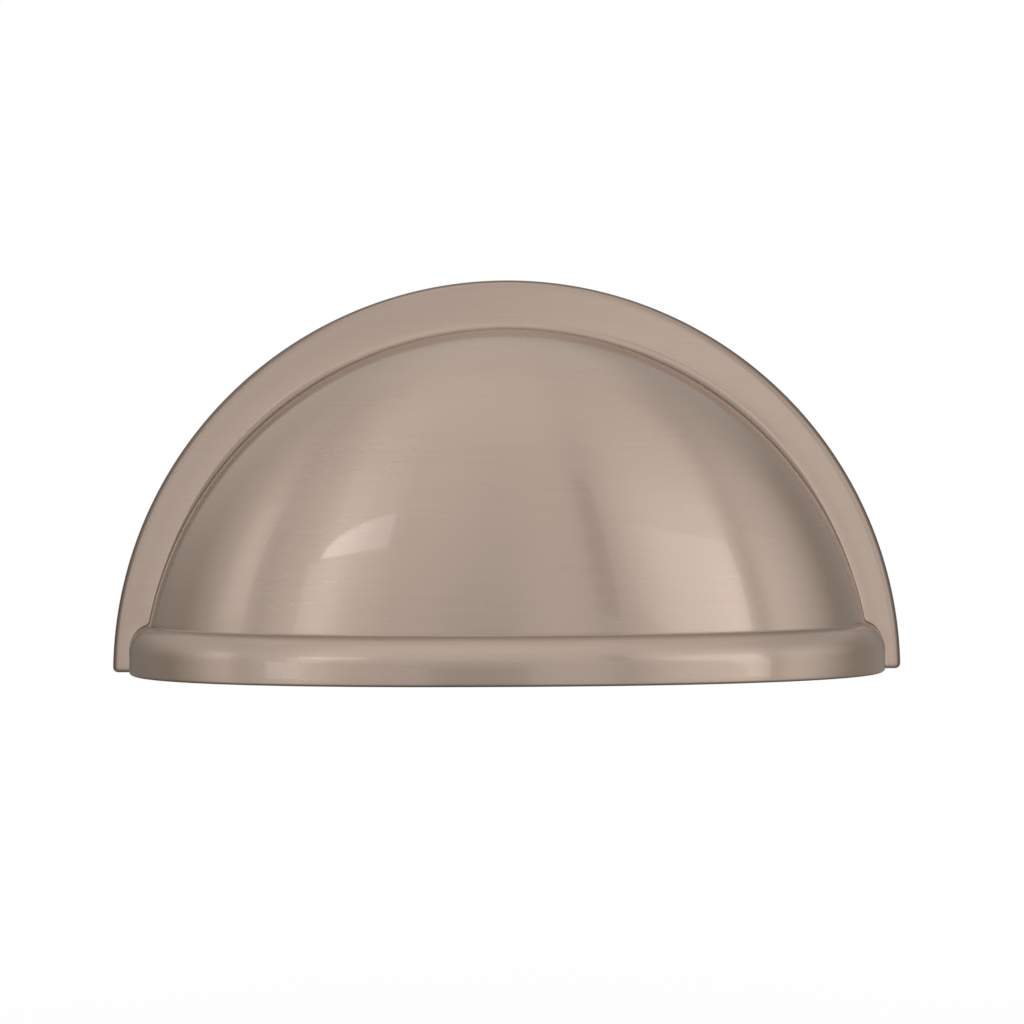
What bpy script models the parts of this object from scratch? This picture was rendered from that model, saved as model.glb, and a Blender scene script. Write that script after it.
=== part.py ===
"""Cup pull for a drawer front, a one-piece zinc die casting with a plated satin finish.

A flat half-round flange lies on the drawer. A thin-walled cup, turned about an axis square to
the drawer, rises from the flange and is cut off level at the finger mouth, where a raised lip
runs round its edge. Two blind screw bosses stand inside the cup and are reached from the back.

Frame: metres, +Z up, +X to the right. The front looks along -Y and the drawer lies at +Y. The
origin is on the centreline, halfway through the depth, in the plane of the mouth.
"""

import math

import bmesh
import bpy
from mathutils import Matrix

# Driving dimensions. The drawer's screw spacing sets the length of the pull.
SCREW_SPACING = 0.0762
BOSS_TO_WALL = 0.0067  # screw centre out to the cup's side wall, at the mouth
SIDE_BORDER = 0.0042  # flange left outside the cup at each side, at the mouth
TOP_BORDER = 0.0062  # flange left above the cup
ARC_DROP = 0.0006  # the flange's arc is centred this far below the mouth
PROJECTION = 0.0220  # drawer face to the front of the lip

# Casting sections
FLANGE_THICKNESS = 0.0024
WALL = 0.0018
FLANGE_EDGE_ROUND = 0.0007
FLANGE_CORNER_ROUND = 0.0008
CUP_FOOT_FILLET = 0.0009
MOUTH_CHAMFER = 0.0005  # inside edge of the mouth

# Cup profile, a superellipse: 2 is a plain ellipse, and more is squarer
CUP_FULLNESS = 2.30

# Lip: a bead round the outside of the mouth, upright below its shoulder and rounded above
LIP_HEIGHT = 0.0054
LIP_BULGE = 0.0021
LIP_SHOULDER = 0.0027
LIP_ROOT = 0.0010  # how far the bead's rounded top reaches back into the cup
LIP_EDGE_ROUND = 0.0004
LIP_EDGE_TURN = math.radians(60.0)  # the edge turns this far under before the flat rim

# Screw bosses, tapped from the back
BOSS_RADIUS = 0.0040
BOSS_DRAFT = math.radians(2.0)
BOSS_HEIGHT = 0.0110  # screw centre above the mouth
BOSS_RECESS = 0.0003  # boss face behind the flange's back, so that the flange seats first
TAP_DRILL_RADIUS = 0.00173
HOLE_END_WALL = 0.0022  # metal left in front of the blind end
DRILL_POINT = math.radians(59.0)  # half angle of the drill's point

# Facets
TURN_STEPS = 120
BOSS_STEPS = 32
CUP_POINTS = 22
FILLET_POINTS = 5
PATH_POINTS = 72
ROUND_POINTS = 6
EDGE_POINTS = 2
SHARP = math.radians(30.0)  # edges that turn more than this are drawn sharp
WELD = 1e-7

SATIN_NICKEL = (0.42, 0.33, 0.275, 1.0)
SATIN_ROUGHNESS = 0.34

# A piece that a cut trims reaches this far past the cutting plane.
OVERRUN = 0.0010
# A fillet that would only touch a flat face dips this far below it, so that the two cross.
DIP = 0.00002
# Turns a shape drawn flat, with its thickness along +Z, to stand with that side facing -Y.
STAND_UP = Matrix.Rotation(math.pi / 2, 4, "X")

# Derived sizes
CUP_HALF_WIDTH = SCREW_SPACING / 2 + BOSS_TO_WALL
FLANGE_RADIUS = math.hypot(CUP_HALF_WIDTH + SIDE_BORDER, ARC_DROP)
CUP_RISE = FLANGE_RADIUS - ARC_DROP - TOP_BORDER
CUP_RADIUS = (CUP_HALF_WIDTH**2 + CUP_RISE**2) / (2 * CUP_RISE)
CUP_AXIS_Z = CUP_RISE - CUP_RADIUS
CROWN = PROJECTION - LIP_BULGE  # drawer face to the front of the cup
BACK_Y = PROJECTION / 2


def collection(name):
    made = bpy.data.collections.new(name)
    bpy.context.scene.collection.children.link(made)
    return made


def helper(obj):
    """Keeps a construction solid out of the finished part."""
    obj.hide_render = True
    obj.display_type = "WIRE"
    return obj


def add_object(name, data, target):
    obj = bpy.data.objects.new(name, data)
    target.objects.link(obj)
    return obj


def add_boolean(obj, operation, other):
    modifier = obj.modifiers.new(operation.title() + " " + other.name, "BOOLEAN")
    modifier.operation = operation
    modifier.solver = "EXACT"
    modifier.object = other


def as_mesh(obj, target):
    """The object with its modifiers applied, or a curve made a mesh with its caps welded."""
    bpy.context.view_layer.update()
    graph = bpy.context.evaluated_depsgraph_get()
    mesh = bpy.data.meshes.new_from_object(obj.evaluated_get(graph))
    name, world = obj.name, obj.matrix_world.copy()
    bpy.data.objects.remove(obj)
    bm = bmesh.new()
    bm.from_mesh(mesh)
    bmesh.ops.remove_doubles(bm, verts=bm.verts, dist=WELD)
    bmesh.ops.recalc_face_normals(bm, faces=bm.faces)
    bm.to_mesh(mesh)
    bm.free()
    mesh.name = name
    made = add_object(name, mesh, target)
    made.matrix_world = world
    return made


def poly_curve(name, points, target, closed, dimensions="3D"):
    curve = bpy.data.curves.new(name, "CURVE")
    curve.dimensions = dimensions
    spline = curve.splines.new("POLY")
    spline.points.add(len(points) - 1)
    for point, place in zip(spline.points, points):
        point.co = (*place, 1.0)
    spline.use_cyclic_u = closed
    return add_object(name, curve, target)


def turned(name, profile, x, z, steps, target):
    """Turns a profile of (radius, depth from the drawer) about an axis square to the drawer."""
    mesh = bpy.data.meshes.new(name)
    rows = [(radius, BACK_Y - depth, 0.0) for radius, depth in profile]
    edges = [(i, i + 1) for i in range(len(rows) - 1)]
    mesh.from_pydata(rows, edges, [])
    obj = add_object(name, mesh, target)
    obj.location = (x, 0.0, z)
    screw = obj.modifiers.new("Turn", "SCREW")
    screw.axis = "Y"
    screw.angle = math.tau
    screw.steps = screw.render_steps = steps
    screw.use_merge_vertices = True
    screw.merge_threshold = WELD
    return as_mesh(obj, target)


def box(name, low, high, target):
    bm = bmesh.new()
    bmesh.ops.create_cube(bm, size=1.0)
    for v in bm.verts:
        v.co = [h if c > 0 else l for c, l, h in zip(v.co, low, high)]
    mesh = bpy.data.meshes.new(name)
    bm.to_mesh(mesh)
    bm.free()
    return helper(add_object(name, mesh, target))


def cup_depth(radius):
    """Depth of the cup's outer surface from the drawer, at a radius from the cup's axis."""
    share = max(0.0, 1 - (radius / CUP_RADIUS) ** CUP_FULLNESS)
    return FLANGE_THICKNESS + (CROWN - FLANGE_THICKNESS) * share ** (1 / CUP_FULLNESS)


def cup_curve():
    """(radius, depth, outward normal) down the cup's outer wall, from its crown to its foot."""
    power = 2 / CUP_FULLNESS
    rise = CROWN - FLANGE_THICKNESS
    found = []
    for i in range(CUP_POINTS + 1):
        turn = math.pi / 2 * i / CUP_POINTS
        s, c = math.sin(turn), max(math.cos(turn), 0.0)
        radius, height = CUP_RADIUS * s**power, rise * c**power
        across = (s ** (2 - power)) / CUP_RADIUS
        along = (c ** (2 - power)) / rise
        size = math.hypot(across, along)
        found.append((radius, FLANGE_THICKNESS + height, across / size, along / size))
    return found


def cup_block(target):
    """The cup as a solid turning, with the fillet at its foot, before it is hollowed."""
    foot = FLANGE_THICKNESS + CUP_FOOT_FILLET
    profile = [(r, d) for r, d, _, _ in cup_curve() if d > foot + CUP_FOOT_FILLET / 4]
    for i in range(FILLET_POINTS + 1):
        turn = math.pi / 2 * i / FILLET_POINTS
        profile.append(
            (
                CUP_RADIUS + CUP_FOOT_FILLET * (1 - math.cos(turn)),
                foot - DIP - CUP_FOOT_FILLET * math.sin(turn),
            )
        )
    rim = CUP_RADIUS + CUP_FOOT_FILLET
    profile += [(rim, -OVERRUN), (0.0, -OVERRUN)]
    return turned("cup_block", profile, 0.0, CUP_AXIS_Z, TURN_STEPS, target)


def cup_hollow(target):
    """The space inside the cup: its outer form set in by the wall, open behind the drawer face."""
    profile = [
        (max(0.0, r - WALL * across), d - WALL * along)
        for r, d, across, along in cup_curve()
    ]
    profile += [(CUP_RADIUS - WALL, -2 * OVERRUN), (0.0, -2 * OVERRUN)]
    return turned("cup_hollow", profile, 0.0, CUP_AXIS_Z, TURN_STEPS, target)


def mouth_path(inset=0.0):
    """The cup's edge in the plane of the mouth, from the drawer's left to its right."""
    half = CUP_HALF_WIDTH
    ends = [(-half + inset, BACK_Y + OVERRUN), (half - inset, BACK_Y + OVERRUN)]
    curve = []
    for i in range(1, PATH_POINTS):
        turn = math.pi * i / PATH_POINTS
        x = -half * math.copysign(abs(math.cos(turn)) ** (2 / CUP_FULLNESS), math.cos(turn))
        depth = cup_depth(math.hypot(x, CUP_AXIS_Z))
        step = CUP_RADIUS * 1e-5
        side = math.copysign(1.0, x)
        if abs(x) > half - step:
            normal = (side, 0.0)
        else:
            fall = depth - cup_depth(math.hypot(x + side * step, CUP_AXIS_Z))
            size = math.hypot(fall, step)
            normal = (side * fall / size, step / size)
        curve.append((x - inset * normal[0], BACK_Y - depth + inset * normal[1]))
    return [ends[0], *curve, ends[1]]


def carried(name, section, path, target):
    """Carries a closed section of (outward, up) along a path in the plane of the mouth."""
    places = [(out, up, 0.0) for out, up in section]
    drawn = poly_curve(name + "_section", places, target, True, "2D")
    run = poly_curve(name, [(x, y, 0.0) for x, y in path], target, False)
    run.data.twist_mode = "Z_UP"
    run.data.bevel_mode = "OBJECT"
    run.data.bevel_object = drawn
    run.data.use_fill_caps = True
    made = as_mesh(run, target)
    bpy.data.objects.remove(drawn)
    return helper(made)


def lip_bead(target):
    """The lip: its section drawn once and carried round the mouth."""
    tall = LIP_HEIGHT - LIP_SHOULDER
    out = LIP_BULGE + LIP_ROOT
    back = -LIP_ROOT - WALL / 2
    section = [(back, -OVERRUN), (back, LIP_HEIGHT)]
    for i in range(ROUND_POINTS + 2):
        turn = math.pi / 2 * (1 - i / (ROUND_POINTS + 1))
        section.append(
            (-LIP_ROOT + out * math.cos(turn), LIP_SHOULDER + tall * math.sin(turn))
        )
    for i in range(ROUND_POINTS // 2 + 1):
        turn = LIP_EDGE_TURN * i / (ROUND_POINTS // 2)
        section.append(
            (
                LIP_BULGE - LIP_EDGE_ROUND * (1 - math.cos(turn)),
                LIP_EDGE_ROUND * (1 - math.sin(turn)),
            )
        )
    across, height = section[-1]
    section.append((across - (height + OVERRUN) * math.tan(LIP_EDGE_TURN), -OVERRUN))
    return carried("lip_bead", section, mouth_path(), target)


def mouth_chamfer(target):
    """Three-sided rail along the inside edge of the mouth: it cuts that edge's chamfer."""
    wide = MOUTH_CHAMFER + OVERRUN
    section = [(wide, -OVERRUN), (-OVERRUN, wide), (-OVERRUN, -OVERRUN)]
    return carried("mouth_chamfer", section, mouth_path(WALL), target)


def flange_outline():
    """Half-round outline, (x, z), with its two lower corners rounded."""
    corner = FLANGE_CORNER_ROUND
    reach = math.sqrt((FLANGE_RADIUS - corner) ** 2 - (corner + ARC_DROP) ** 2)
    start = math.atan2(corner + ARC_DROP, reach)
    right = []
    for i in range(ROUND_POINTS + 1):
        turn = -math.pi / 2 + (math.pi / 2 + start) * i / ROUND_POINTS
        right.append((reach + corner * math.cos(turn), corner + corner * math.sin(turn)))
    arc = []
    for i in range(1, TURN_STEPS):
        turn = start + (math.pi - 2 * start) * i / TURN_STEPS
        arc.append(
            (FLANGE_RADIUS * math.cos(turn), FLANGE_RADIUS * math.sin(turn) - ARC_DROP)
        )
    left = [(-x, z) for x, z in reversed(right)]
    return right + arc + left


def flange_plate(target):
    """The flange before the cup's hollow is cut through it, with a rounded front edge."""
    flat = [(x, z, 0.0) for x, z in flange_outline()]
    plate = poly_curve("flange_plate", flat, target, True, "2D")
    depth = FLANGE_THICKNESS + OVERRUN
    plate.data.fill_mode = "BOTH"
    plate.data.extrude = depth / 2 - FLANGE_EDGE_ROUND
    plate.data.bevel_depth = FLANGE_EDGE_ROUND
    plate.data.bevel_resolution = EDGE_POINTS
    plate.data.offset = -FLANGE_EDGE_ROUND
    plate = as_mesh(plate, target)
    plate.data.transform(STAND_UP)
    plate.location.y = BACK_Y - FLANGE_THICKNESS + depth / 2
    return helper(plate)


def boss(name, side, target):
    """One screw boss, a drafted peg that the hollow is cut around. It ends inside the wall."""
    end = BOSS_RECESS + CROWN
    profile = [
        (0.0, end),
        (BOSS_RADIUS + CROWN * math.tan(BOSS_DRAFT), end),
        (BOSS_RADIUS, BOSS_RECESS),
        (0.0, BOSS_RECESS),
    ]
    x = side * SCREW_SPACING / 2
    return helper(turned(name, profile, x, BOSS_HEIGHT, BOSS_STEPS, target))


def tapped_hole(name, side, target):
    """Cutter for one blind hole, at its tap drill's size, with the drill's point."""
    across = SCREW_SPACING / 2
    far_side = math.hypot(across + TAP_DRILL_RADIUS, BOSS_HEIGHT - CUP_AXIS_Z)
    depth = cup_depth(far_side) - HOLE_END_WALL
    point = TAP_DRILL_RADIUS / math.tan(DRILL_POINT)
    profile = [
        (0.0, depth),
        (TAP_DRILL_RADIUS, depth - point),
        (TAP_DRILL_RADIUS, -OVERRUN),
        (0.0, -OVERRUN),
    ]
    return helper(turned(name, profile, side * across, BOSS_HEIGHT, BOSS_STEPS, target))


def satin_nickel():
    material = bpy.data.materials.new("satin_nickel")
    material.use_nodes = True
    shader = material.node_tree.nodes["Principled BSDF"]
    shader.inputs["Base Color"].default_value = SATIN_NICKEL
    shader.inputs["Metallic"].default_value = 1.0
    shader.inputs["Roughness"].default_value = SATIN_ROUGHNESS
    material.diffuse_color = SATIN_NICKEL
    return material


def cup_pull():
    part = collection("cup_pull")
    tools = collection("construction")
    reach = 2 * FLANGE_RADIUS

    below = box("below_mouth", (-reach, -reach, -reach), (reach, reach, 0.0), tools)
    behind = box("behind_drawer_face", (-reach, BACK_Y, -reach), (reach, reach, reach), tools)

    body = cup_block(part)
    body.name = "cup_pull"
    bead = lip_bead(tools)
    plate = flange_plate(tools)
    hollow = cup_hollow(tools)
    for label, side in (("left", -1), ("right", 1)):
        add_boolean(hollow, "DIFFERENCE", boss("boss_" + label, side, tools))
    hollow = helper(as_mesh(hollow, tools))

    add_boolean(body, "UNION", bead)
    add_boolean(body, "DIFFERENCE", below)
    add_boolean(body, "UNION", plate)
    add_boolean(body, "DIFFERENCE", behind)
    add_boolean(body, "DIFFERENCE", hollow)
    add_boolean(body, "DIFFERENCE", mouth_chamfer(tools))
    for label, side in (("left", -1), ("right", 1)):
        add_boolean(body, "DIFFERENCE", tapped_hole("tapped_hole_" + label, side, tools))

    body = as_mesh(body, part)
    body.data.materials.clear()
    body.data.materials.append(satin_nickel())
    body.data.shade_smooth()
    body.data.set_sharp_from_angle(angle=SHARP)
    return body


for old in list(bpy.data.objects):
    bpy.data.objects.remove(old)
cup_pull()
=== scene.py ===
"""Looks of the cup pull: a satin nickel casting under clear lacquer, on a pale sweep."""

import math

import bmesh
import bpy
import numpy as np
from mathutils import Matrix, Vector


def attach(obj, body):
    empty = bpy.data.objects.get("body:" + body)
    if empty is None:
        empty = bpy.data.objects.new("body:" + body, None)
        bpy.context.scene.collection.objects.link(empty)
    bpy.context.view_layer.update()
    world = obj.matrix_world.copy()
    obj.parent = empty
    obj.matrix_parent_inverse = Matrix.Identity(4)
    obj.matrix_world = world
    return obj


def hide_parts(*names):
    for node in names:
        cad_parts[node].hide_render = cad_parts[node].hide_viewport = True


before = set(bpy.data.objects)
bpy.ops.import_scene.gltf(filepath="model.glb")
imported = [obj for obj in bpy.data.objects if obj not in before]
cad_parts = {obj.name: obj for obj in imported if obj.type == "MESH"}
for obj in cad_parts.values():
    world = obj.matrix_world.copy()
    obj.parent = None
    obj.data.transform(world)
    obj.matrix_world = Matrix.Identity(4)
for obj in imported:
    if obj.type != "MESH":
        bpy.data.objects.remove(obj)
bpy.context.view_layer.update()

# The camera
# It stands 300 mm in front of the drawer, a little left of the pull's middle and a little above
# it, and looks slightly down, so that the lip's rim dips below the foot of the flange.
DRAWER_Y = 0.011
CAMERA_PLACE = Vector((-0.00447, DRAWER_Y - 0.300, 0.02943))
CAMERA_YAW = math.radians(0.973)
CAMERA_PITCH = math.radians(-1.867)
CAMERA_ROLL = math.radians(-0.209)
FOCUS_IN_FRAMES = 2.3470  # focal length over the picture's width

ahead = Vector(
    (
        math.sin(CAMERA_YAW) * math.cos(CAMERA_PITCH),
        math.cos(CAMERA_YAW) * math.cos(CAMERA_PITCH),
        math.sin(CAMERA_PITCH),
    )
)
level = Vector((math.cos(CAMERA_YAW), -math.sin(CAMERA_YAW), 0.0))
right = (
    level * math.cos(CAMERA_ROLL) + level.cross(ahead) * math.sin(CAMERA_ROLL)
).normalized()
above = right.cross(ahead)
turned = Matrix((right, above, -ahead)).transposed().to_4x4()

camera_data = bpy.data.cameras.new("camera")
camera_data.sensor_fit = "HORIZONTAL"
camera_data.sensor_width = 36.0
camera_data.lens = FOCUS_IN_FRAMES * camera_data.sensor_width
camera_data.clip_start = 0.01
camera_data.clip_end = 20.0
camera = bpy.data.objects.new("camera", camera_data)
bpy.context.scene.collection.objects.link(camera)
camera.matrix_world = Matrix.Translation(CAMERA_PLACE) @ turned
bpy.context.scene.camera = camera
bpy.context.scene.view_settings.view_transform = "Standard"

# The casting
# One die casting in zinc alloy, brushed level, plated with nickel and lacquered. Its flange lies
# on the drawer, its cup is turned about an axis square to the drawer and cut off level, and a
# lip runs round the cut. Only the right half is drawn. The left half is its mirror image.
CUP_HALF_WIDTH = 0.0450
CUP_RISE = 0.0423
CUP_FULLNESS = 2.30  # 2 is a plain ellipse, and more is squarer
CROWN = 0.0199  # from the drawer to the front of the cup
FLANGE_THICKNESS = 0.0024
FLANGE_RADIUS = 0.0490037
FLANGE_CENTRE_Z = -0.0006
WALL = 0.0018

CUP_RADIUS = (CUP_HALF_WIDTH**2 + CUP_RISE**2) / (2 * CUP_RISE)
CUP_AXIS_Z = CUP_RISE - CUP_RADIUS
CUP_STANDS = CROWN - FLANGE_THICKNESS
ROUNDNESS = 2 / CUP_FULLNESS

LIP_HEIGHT = 0.0059
LIP_BULGE = 0.0021
LIP_SHOULDER = 0.0027
LIP_ROOT = 0.0010
LIP_END_SLIM = 0.0004
LIP_END_REACH = 0.0060

FLANGE_EDGE = 0.0007
FLANGE_BACK_EDGE = 0.00025
FLANGE_FOOT_EDGE = 0.00065
LIP_EDGE = 0.0004
MOUTH_EDGE = 0.0005
CUP_SIDE_FILLET = 0.0004
CUP_TOP_FILLET = 0.0012
LIP_END_FILLET = 0.0002
CREASE_FILLET = 0.00030
CREASE_END_FILLET = 0.0010
CREASE_END_REACH = 0.0026

BAND_FOOT = 0.0009  # the edge roundings along the mouth lie below this height
CUP_SLICE = 0.0072  # the lip's strip ends and the turned cup starts at this height

STATIONS = 200  # places along the lip from the flange to the middle
LEG_STEPS = 14
CUP_STEPS = 44  # places up the cup above the lip, and up the hollow inside it
HOLLOW_STEPS = 24
WALL_SEARCH = (-0.009, 0.0002)  # the cup's wall lies this far out from the mouth's line
LEAN_STEP = 1e-5  # over which the wall's lean is taken
HALVINGS = 42
CREASE_HALVINGS = 36


def smooth_step(value):
    """Eases from 0 to 1, level at both ends."""
    value = np.clip(value, 0.0, 1.0)
    return value * value * (3 - 2 * value)


def cup_excess(x, depth, z):
    """Below zero inside the cup's outer form, zero on it, and above zero outside."""
    radius = np.hypot(x, z - CUP_AXIS_Z) / CUP_RADIUS
    height = np.maximum(depth - FLANGE_THICKNESS, 0.0) / CUP_STANDS
    return radius**CUP_FULLNESS + height**CUP_FULLNESS - 1


def mouth_line(turn):
    """Place and outward direction, as (x, depth), on the cup's edge in the mouth's plane."""
    x = CUP_HALF_WIDTH * np.maximum(np.cos(turn), 0.0) ** ROUNDNESS
    radius = np.hypot(x, CUP_AXIS_Z)
    share = np.maximum(1 - (radius / CUP_RADIUS) ** CUP_FULLNESS, 0.0)
    height = CUP_STANDS * share ** (1 / CUP_FULLNESS)
    side = (radius / CUP_RADIUS) ** (CUP_FULLNESS - 1) / CUP_RADIUS * x / radius
    front = (height / CUP_STANDS) ** (CUP_FULLNESS - 1) / CUP_STANDS
    size = np.hypot(side, front)
    return x, FLANGE_THICKNESS + height, side / size, front / size


def wall_offset(turn, z):
    """How far the cup's wall stands out from the mouth's line, at a height above the mouth."""
    x, depth, side, front = mouth_line(turn)
    low = np.full_like(turn * z, WALL_SEARCH[0])
    high = np.full_like(low, WALL_SEARCH[1])
    for _ in range(HALVINGS):
        middle = (low + high) / 2
        outside = cup_excess(x + middle * side, depth + middle * front, z) > 0
        high = np.where(outside, middle, high)
        low = np.where(outside, low, middle)
    return (low + high) / 2


def lip_bulge(turn):
    """How far the lip stands out, which is a little less where it runs onto the flange."""
    _, depth, _, _ = mouth_line(turn)
    near_end = np.exp(-(((depth - FLANGE_THICKNESS) / LIP_END_REACH) ** 2))
    return LIP_BULGE - LIP_END_SLIM * near_end


def lip_round(angle, turn):
    """(outward, up) on the lip's rounded top, and its outward direction there."""
    across = lip_bulge(turn) + LIP_ROOT
    tall = LIP_HEIGHT - LIP_SHOULDER
    out = -LIP_ROOT + across * np.cos(angle)
    up = LIP_SHOULDER + tall * np.sin(angle)
    size = np.hypot(np.cos(angle) / across, np.sin(angle) / tall)
    return out, up, np.cos(angle) / across / size, np.sin(angle) / tall / size


def turn_at_depth(depth):
    """Where the mouth's line reaches a depth from the drawer."""
    share = 1 - ((depth - FLANGE_THICKNESS) / CUP_STANDS) ** CUP_FULLNESS
    radius = CUP_RADIUS * share ** (1 / CUP_FULLNESS)
    x = np.sqrt(radius**2 - CUP_AXIS_Z**2)
    return np.arccos(np.minimum(x / CUP_HALF_WIDTH, 1.0) ** (1 / ROUNDNESS))


def crease_radius(turn):
    """The crease above the lip opens out into a soft corner where it runs onto the flange."""
    _, depth, _, _ = mouth_line(turn)
    near_end = np.exp(-(((depth - FLANGE_THICKNESS) / CREASE_END_REACH) ** 2))
    return CREASE_FILLET + (CREASE_END_FILLET - CREASE_FILLET) * near_end


def crease(turn):
    """The rolling fillet between lip and cup: its centre, and the angles it starts and ends at."""
    radius = crease_radius(turn)
    low = np.zeros_like(turn)
    high = np.full_like(turn, math.pi / 2)
    for _ in range(CREASE_HALVINGS):
        middle = (low + high) / 2
        out, up, side, rise = lip_round(middle, turn)
        out, up = out + radius * side, up + radius * rise
        wall = wall_offset(turn, up)
        lean = (wall - wall_offset(turn, up + LEAN_STEP)) / LEAN_STEP
        clear = (out - wall) / np.hypot(1, lean) > radius
        low = np.where(clear, middle, low)
        high = np.where(clear, high, middle)
    angle = (low + high) / 2
    out, up, side, rise = lip_round(angle, turn)
    centre = (out + radius * side, up + radius * rise)
    wall = wall_offset(turn, centre[1])
    lean = np.arctan((wall - wall_offset(turn, centre[1] + LEAN_STEP)) / LEAN_STEP)
    start = np.arctan2(-rise, -side)
    end = lean + math.pi
    start = np.where(start < 0, start + 2 * math.pi, start)
    return angle, centre, radius, start, end


# Rows of the lip's strip, from the foot band up: upright face, rounded top, crease, cup
UPRIGHT_ROWS, ROUND_ROWS, CREASE_ROWS, WALL_ROWS = 3, 16, 8, 6
strip_rows = (
    [("upright", i / UPRIGHT_ROWS) for i in range(UPRIGHT_ROWS)]
    + [("round", i / ROUND_ROWS) for i in range(ROUND_ROWS)]
    + [("crease", i / CREASE_ROWS) for i in range(CREASE_ROWS)]
    + [("wall", i / WALL_ROWS) for i in range(WALL_ROWS + 1)]
)


def strip_row(kind, share, turn):
    """One row of the lip's strip as (outward, up) at each turn along the mouth's line."""
    angle, centre, radius, start, end = crease(turn)
    if kind == "upright":
        up = BAND_FOOT + (LIP_SHOULDER - BAND_FOOT) * share
        return lip_bulge(turn), np.full_like(turn, up)
    if kind == "round":
        out, up, _, _ = lip_round(angle * share, turn)
        return out, up
    if kind == "crease":
        swing = start + (end - start) * share
        return centre[0] + radius * np.cos(swing), centre[1] + radius * np.sin(swing)
    foot = centre[1] + radius * np.sin(end)
    up = foot + (CUP_SLICE - foot) * share
    return wall_offset(turn, up), up


def foot_fillet(kind, share):
    """Radius of the fillet onto the flange, least round the lip's end."""
    if kind in ("upright", "round"):
        return LIP_END_FILLET
    place = share if kind == "crease" else 1.0
    return LIP_END_FILLET + (CUP_SIDE_FILLET - LIP_END_FILLET) * float(smooth_step(place))


def cup_fillet(fan):
    """Radius of the fillet round the cup, which is fullest at the top, by the angle round it."""
    return CUP_SIDE_FILLET + (CUP_TOP_FILLET - CUP_SIDE_FILLET) * smooth_step(
        (np.sin(fan) - 0.3) / 0.6
    )


def spaced_turns():
    """Turns along the mouth's line, spaced for both the lip's length and the cup's fan of ribs."""
    turn = np.linspace(turn_at_depth(FLANGE_THICKNESS + CUP_SIDE_FILLET), math.pi / 2, 4001)
    x, depth, side, _ = mouth_line(turn)
    along = np.hypot(np.diff(x), np.diff(depth))
    top_x = x + wall_offset(turn, np.float64(CUP_SLICE)) * side
    fan = np.diff(np.arctan2(CUP_SLICE - CUP_AXIS_Z, top_x)) * CUP_RADIUS
    run = np.concatenate([[0.0], np.cumsum(along + fan)])
    return np.interp(np.linspace(0, run[-1], STATIONS + 1), run, turn)


turns = spaced_turns()
END_SHIFT = 14  # stations over which the rows' own starting points fade out


def lip_strip():
    """Grid of (x, depth, z): rows up the lip, columns from the flange to the middle."""
    rows, fillets = [], []
    for kind, share in strip_rows:
        fillet = foot_fillet(kind, share)
        first = turn_at_depth(FLANGE_THICKNESS + fillet)
        shift = np.clip(1 - np.arange(STATIONS + 1) / END_SHIFT, 0.0, 1.0)
        turn = turns + (first - turns[0]) * shift
        out, up = strip_row(kind, share, turn)
        x, depth, side, front = mouth_line(turn)
        row = np.stack([x + out * side, depth + out * front, up], axis=1)
        row[0, 1] = FLANGE_THICKNESS + fillet
        if kind == "wall":
            height = (fillet / CUP_STANDS) ** CUP_FULLNESS
            radius = CUP_RADIUS * (1 - height) ** (1 / CUP_FULLNESS)
            on_cup = math.sqrt(radius**2 - (row[0, 2] - CUP_AXIS_Z) ** 2)
            row[0, 0] = on_cup
        row[-1, 0] = 0.0
        rows.append(row)
        fillets.append(fillet)
    return np.array(rows), fillets


def turned_cup(strip_top, steps):
    """The cup above the strip: ribs from the strip's top row out to the foot fillet."""
    radius = np.hypot(strip_top[:, 0], strip_top[:, 2] - CUP_AXIS_Z)
    fan = np.arctan2(strip_top[:, 2] - CUP_AXIS_Z, strip_top[:, 0])
    height = (strip_top[:, 1] - FLANGE_THICKNESS) / CUP_STANDS
    start = np.arccos(np.clip(height, 0, 1) ** (1 / ROUNDNESS))
    foot = np.arccos((cup_fillet(fan) / CUP_STANDS) ** (1 / ROUNDNESS))
    rows = []
    for i in range(steps + 1):
        turn = start + (foot - start) * i / steps
        r = CUP_RADIUS * np.sin(turn) ** ROUNDNESS
        depth = FLANGE_THICKNESS + CUP_STANDS * np.cos(turn) ** ROUNDNESS
        rows.append(
            np.stack([r * np.cos(fan), depth, CUP_AXIS_Z + r * np.sin(fan)], axis=1)
        )
    rows[0] = strip_top.copy()
    rows = np.array(rows)
    rows[:, -1, 0] = 0.0
    rows[:, 0] = strip_top[0]
    return rows


FILLET_STEPS, EDGE_STEPS, SIDE_STEPS, BACK_STEPS = 7, 6, 1, 2
FLAT_SHARES = (0.5, 0.88, 1.0)


def outline_normals(outline):
    """Outward directions along the cup's and lip's outline on the flange, as (x, z)."""
    step = np.gradient(outline, axis=0)
    normal = np.stack([step[:, 1], -step[:, 0]], axis=1)
    round_part = outline[-STATIONS - 1 :]
    normal[-STATIONS - 1 :] = round_part - np.array([0.0, CUP_AXIS_Z])
    normal[-1] = (0.0, 1.0)
    return normal / np.linalg.norm(normal, axis=1)[:, None]


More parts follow.
